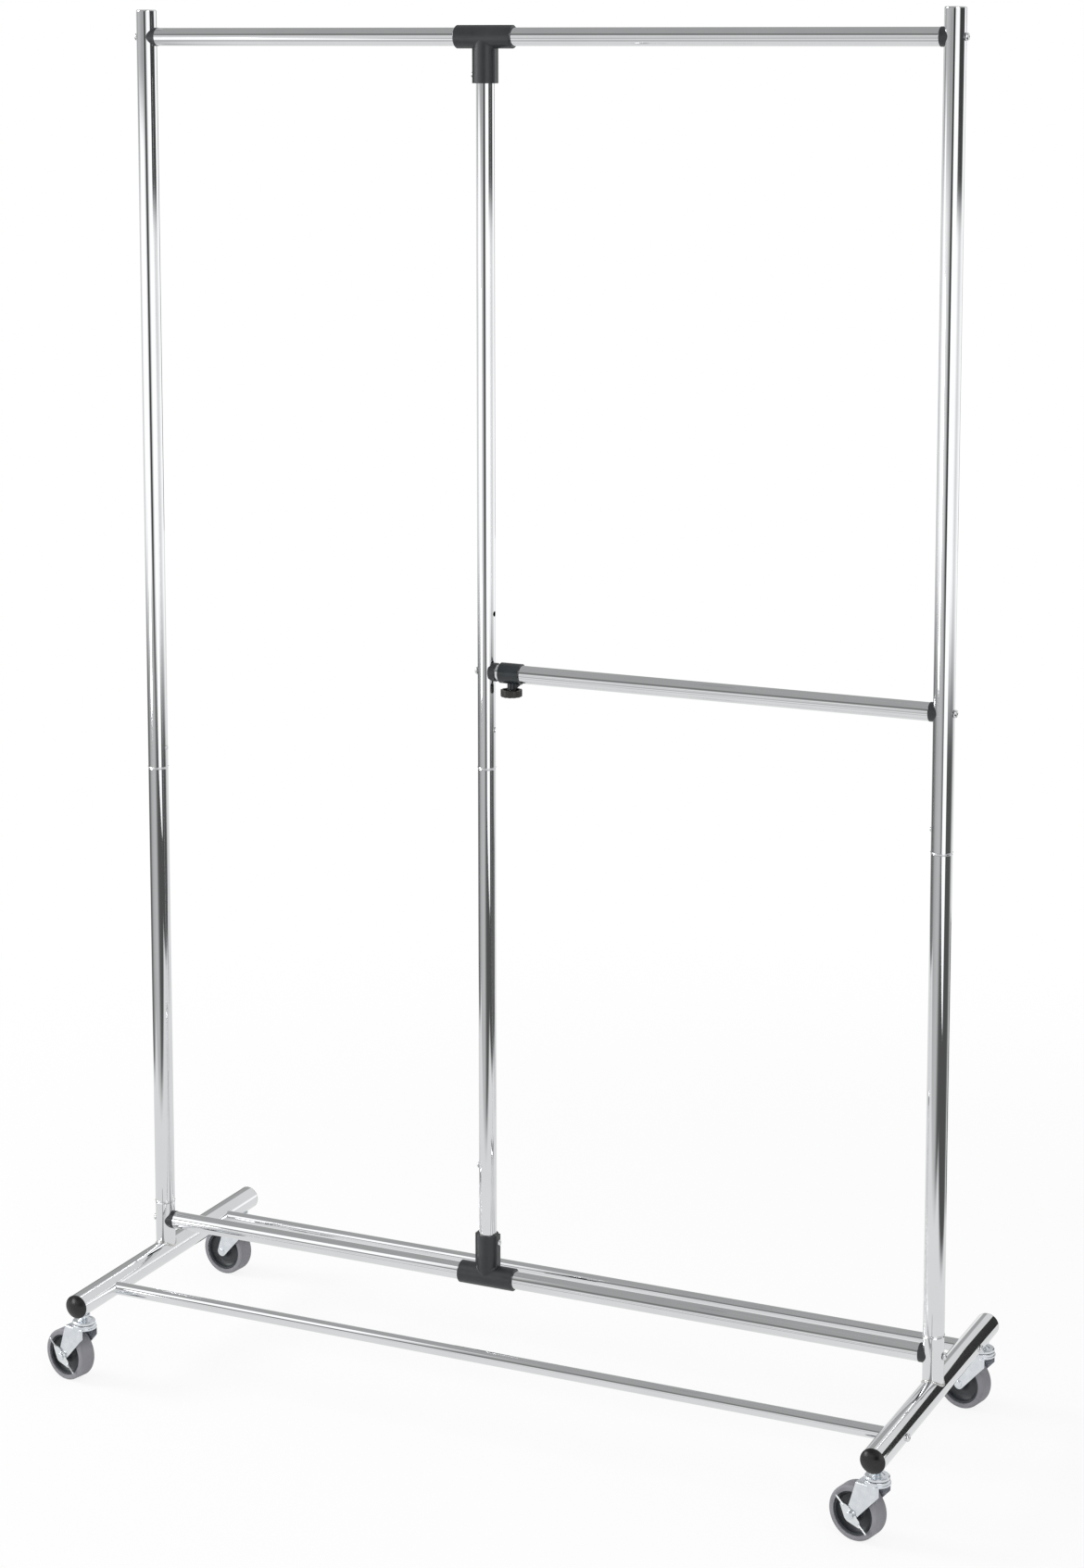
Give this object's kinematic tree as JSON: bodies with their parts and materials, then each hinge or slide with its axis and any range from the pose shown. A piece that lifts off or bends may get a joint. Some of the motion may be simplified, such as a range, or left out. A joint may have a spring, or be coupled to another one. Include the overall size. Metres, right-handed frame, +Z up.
{
  "type": "rolling clothes rack",
  "caption": "Chrome tube clothes rack on swivel casters, with a sliding divider, a telescopic half-height rail and a shoe shelf.",
  "frame": {"origin": "on the floor, midway between the axes of the two end posts", "axes": "+Z up, +X along the hanging rails towards the post that carries the half-height rail, -Y the front, where the braked casters are"},
  "size_m": [1.1305, 0.44, 1.72],
  "materials": {
    "chrome_tube": "bright chrome-plated steel tube",
    "chrome_fastener": "chrome-plated screws and snap buttons",
    "zinc_steel": "bright zinc-plated pressed steel",
    "spring_steel": "plain spring steel",
    "ball_steel": "hardened steel balls",
    "charcoal_plastic": "satin charcoal moulded plastic",
    "black_cap": "glossy black moulded plastic",
    "knob_plastic": "satin black moulded plastic",
    "tread_rubber": "satin grey rubber",
    "hub_plastic": "dark grey moulded plastic"
  },
  "bodies": {
    "frame": {"back_left_stem": "zinc_steel", "back_right_stem": "zinc_steel", "back_shoe_rail": "chrome_tube", "base_left_saddle": "charcoal_plastic", "base_rail": "chrome_tube", "base_right_saddle": "charcoal_plastic", "caster_sockets": "zinc_steel", "clamp_collar": "charcoal_plastic", "foot_caps": "black_cap", "frame_bolts": "chrome_fastener", "front_left_stem": "zinc_steel", "front_right_stem": "zinc_steel", "front_shoe_rail": "chrome_tube", "left_button_spring": "spring_steel", "left_foot_stub": "chrome_tube", "left_foot_tube": "chrome_tube", "left_lower_post": "chrome_tube", "left_upper_post": "chrome_tube", "mid_rail_outer_tube": "chrome_tube", "mid_right_saddle": "charcoal_plastic", "post_caps": "chrome_tube", "race_balls": "ball_steel", "rail_nuts": "chrome_fastener", "right_button_spring": "spring_steel", "right_foot_stub": "chrome_tube", "right_foot_tube": "chrome_tube", "right_lower_post": "chrome_tube", "right_upper_post": "chrome_tube", "top_left_saddle": "charcoal_plastic", "top_rail": "chrome_tube", "top_right_saddle": "charcoal_plastic"},
    "front_left_swivel": {"front_left_fork": "zinc_steel", "front_left_axle": "zinc_steel"},
    "front_left_wheel": {"front_left_hub": "hub_plastic", "front_left_tread": "tread_rubber"},
    "front_left_brake_lever": {"front_left_brake": "zinc_steel"},
    "front_right_swivel": {"front_right_fork": "zinc_steel", "front_right_axle": "zinc_steel"},
    "front_right_wheel": {"front_right_hub": "hub_plastic", "front_right_tread": "tread_rubber"},
    "front_right_brake_lever": {"front_right_brake": "zinc_steel"},
    "back_left_swivel": {"back_left_fork": "zinc_steel", "back_left_axle": "zinc_steel"},
    "back_left_wheel": {"back_left_hub": "hub_plastic", "back_left_tread": "tread_rubber"},
    "back_right_swivel": {"back_right_fork": "zinc_steel", "back_right_axle": "zinc_steel"},
    "back_right_wheel": {"back_right_hub": "hub_plastic", "back_right_tread": "tread_rubber"},
    "divider": {"divider_lower_tube": "chrome_tube", "divider_upper_tube": "chrome_tube", "top_tee": "charcoal_plastic", "base_tee": "charcoal_plastic", "divider_fasteners": "chrome_fastener", "mid_left_saddle": "charcoal_plastic", "mid_rail_inner_tube": "chrome_tube"},
    "clamp_stud": {"clamp_screw": "chrome_fastener"},
    "clamp_grip": {"clamp_knob": "knob_plastic"},
    "left_button": {"left_snap_button": "chrome_fastener"},
    "right_button": {"right_snap_button": "chrome_fastener"}
  },
  "joints": [
    {"name": "front_left_swivel_turn", "type": "hinge", "parent": "frame", "child": "front_left_swivel", "pos_m": [-0.527, -0.1975, 0.08], "axis": [0, 0, 1], "continuous": true},
    {"name": "front_left_wheel_roll", "type": "hinge", "parent": "front_left_swivel", "child": "front_left_wheel", "pos_m": [-0.55136, -0.19188, 0.0325], "axis": [0.225, 0.9744, 0], "continuous": true},
    {"name": "front_left_brake_press", "type": "hinge", "parent": "front_left_swivel", "child": "front_left_brake_lever", "pos_m": [-0.55136, -0.19188, 0.0325], "axis": [-0.225, -0.9744, 0], "range_deg": [0, 25]},
    {"name": "front_right_swivel_turn", "type": "hinge", "parent": "frame", "child": "front_right_swivel", "pos_m": [0.527, -0.1975, 0.08], "axis": [0, 0, 1], "continuous": true},
    {"name": "front_right_wheel_roll", "type": "hinge", "parent": "front_right_swivel", "child": "front_right_wheel", "pos_m": [0.50264, -0.19188, 0.0325], "axis": [0.225, 0.9744, 0], "continuous": true},
    {"name": "front_right_brake_press", "type": "hinge", "parent": "front_right_swivel", "child": "front_right_brake_lever", "pos_m": [0.50264, -0.19188, 0.0325], "axis": [-0.225, -0.9744, 0], "range_deg": [0, 25]},
    {"name": "back_left_swivel_turn", "type": "hinge", "parent": "frame", "child": "back_left_swivel", "pos_m": [-0.527, 0.1975, 0.08], "axis": [0, 0, 1], "continuous": true},
    {"name": "back_left_wheel_roll", "type": "hinge", "parent": "back_left_swivel", "child": "back_left_wheel", "pos_m": [-0.55181, 0.20055, 0.0325], "axis": [0.1219, 0.9925, 0], "continuous": true},
    {"name": "back_right_swivel_turn", "type": "hinge", "parent": "frame", "child": "back_right_swivel", "pos_m": [0.527, 0.1975, 0.08], "axis": [0, 0, 1], "continuous": true},
    {"name": "back_right_wheel_roll", "type": "hinge", "parent": "back_right_swivel", "child": "back_right_wheel", "pos_m": [0.50264, 0.20312, 0.0325], "axis": [0.225, 0.9744, 0], "continuous": true},
    {"name": "divider_slide", "type": "slide", "parent": "frame", "child": "divider", "axis": [1, 0, 0], "range_m": [-0.35, 0.004]},
    {"name": "clamp_travel", "type": "slide", "parent": "frame", "child": "clamp_stud", "axis": [0, 0, 1], "range_m": [-0.002, 0]},
    {"name": "clamp_turn", "type": "hinge", "parent": "clamp_stud", "child": "clamp_grip", "pos_m": [-0.0225, 0, 0.894], "axis": [0, 0, 1], "range_deg": [-720, 0]},
    {"name": "left_button_press", "type": "slide", "parent": "frame", "child": "left_button", "axis": [-1, 0, 0], "range_m": [0, 0.0022], "stiffness_N_per_m": 1500, "springref_m": -0.002, "deforming": ["left_button_spring"]},
    {"name": "right_button_press", "type": "slide", "parent": "frame", "child": "right_button", "axis": [1, 0, 0], "range_m": [0, 0.0022], "stiffness_N_per_m": 1500, "springref_m": -0.002, "deforming": ["right_button_spring"]}
  ],
  "couplings": [
    {"joint": "clamp_turn", "follows": "clamp_travel", "rad_per_m": 6283.2}
  ]
}
